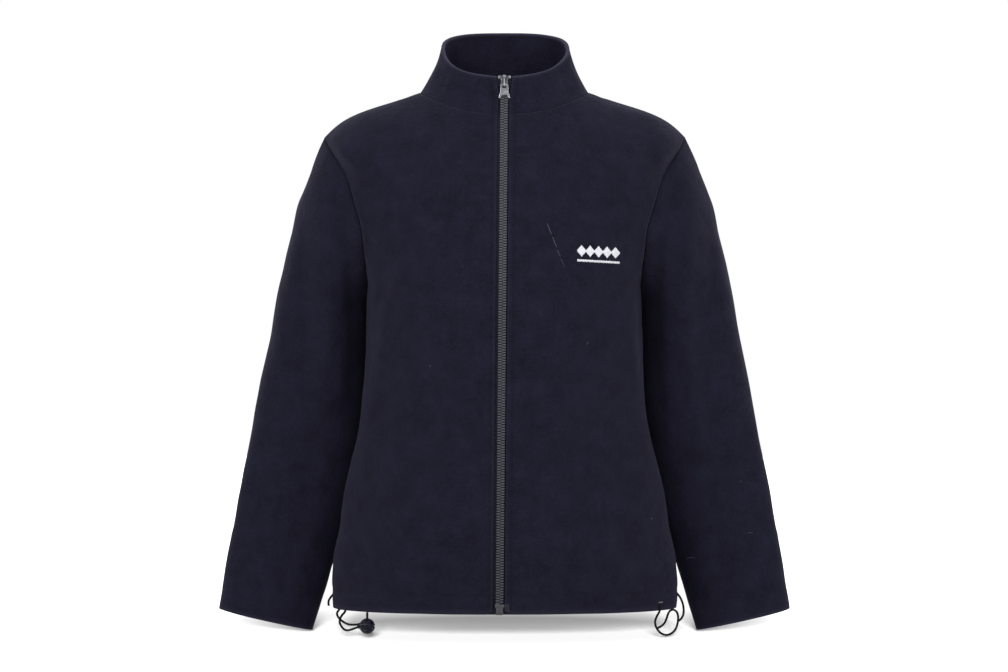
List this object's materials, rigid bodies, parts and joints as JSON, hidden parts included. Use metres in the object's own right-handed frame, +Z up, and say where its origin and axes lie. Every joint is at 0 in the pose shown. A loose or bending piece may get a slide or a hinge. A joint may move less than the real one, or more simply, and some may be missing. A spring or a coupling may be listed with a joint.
{
  "type": "fleece zip jacket",
  "caption": "Stand-collar fleece jacket with a full front zip, set-in sleeves, chest embroidery and a cord with a ball lock at the hem, filled out and hollow.",
  "frame": {"origin": "midway between the two high shoulder points, where the wearer's neck meets the shoulders", "axes": "+Z up the wearer's body, +X to the wearer's left, front facing -Y"},
  "size_m": [0.706, 0.2625, 0.7377],
  "materials": {
    "fleece": "brushed pile fleece, matt",
    "zip_tape": "woven tape",
    "zip_teeth": "moulded plastic",
    "zip_metal": "bright nickel plate",
    "embroidery": "satin-stitched thread",
    "cord": "braided elastic cord",
    "toggle": "moulded plastic"
  },
  "bodies": {
    "jacket": {"back": "fleece", "collar": "fleece", "front_left": "fleece", "front_right": "fleece", "sleeve_left": "fleece", "sleeve_right": "fleece", "zip_tape_left": "zip_tape", "zip_tape_right": "zip_tape", "zip_teeth_left": "zip_teeth", "zip_teeth_right": "zip_teeth", "zip_box": "zip_teeth", "zip_slider": "zip_metal", "zip_stop_left": "zip_metal", "zip_stop_right": "zip_metal", "motif_diamonds": "embroidery", "motif_bar": "embroidery", "cord_eyelet": "embroidery", "hem_cord_side_strand": "cord", "hem_cord_front_strand": "cord", "hem_cord_tail": "cord", "hem_cord_front_loop": "cord", "hem_cord_side_loop": "cord", "toggle_tie": "cord", "toggle_ball": "toggle", "toggle_nub": "toggle"},
    "pull": {"zip_pull": "zip_metal"}
  },
  "joints": [
    {"name": "pull_swing", "type": "hinge", "parent": "jacket", "child": "pull", "pos_m": [-0.00018, -0.05261, 0.01106], "axis": [-1, 0, 0], "range_deg": [0, 120]}
  ]
}
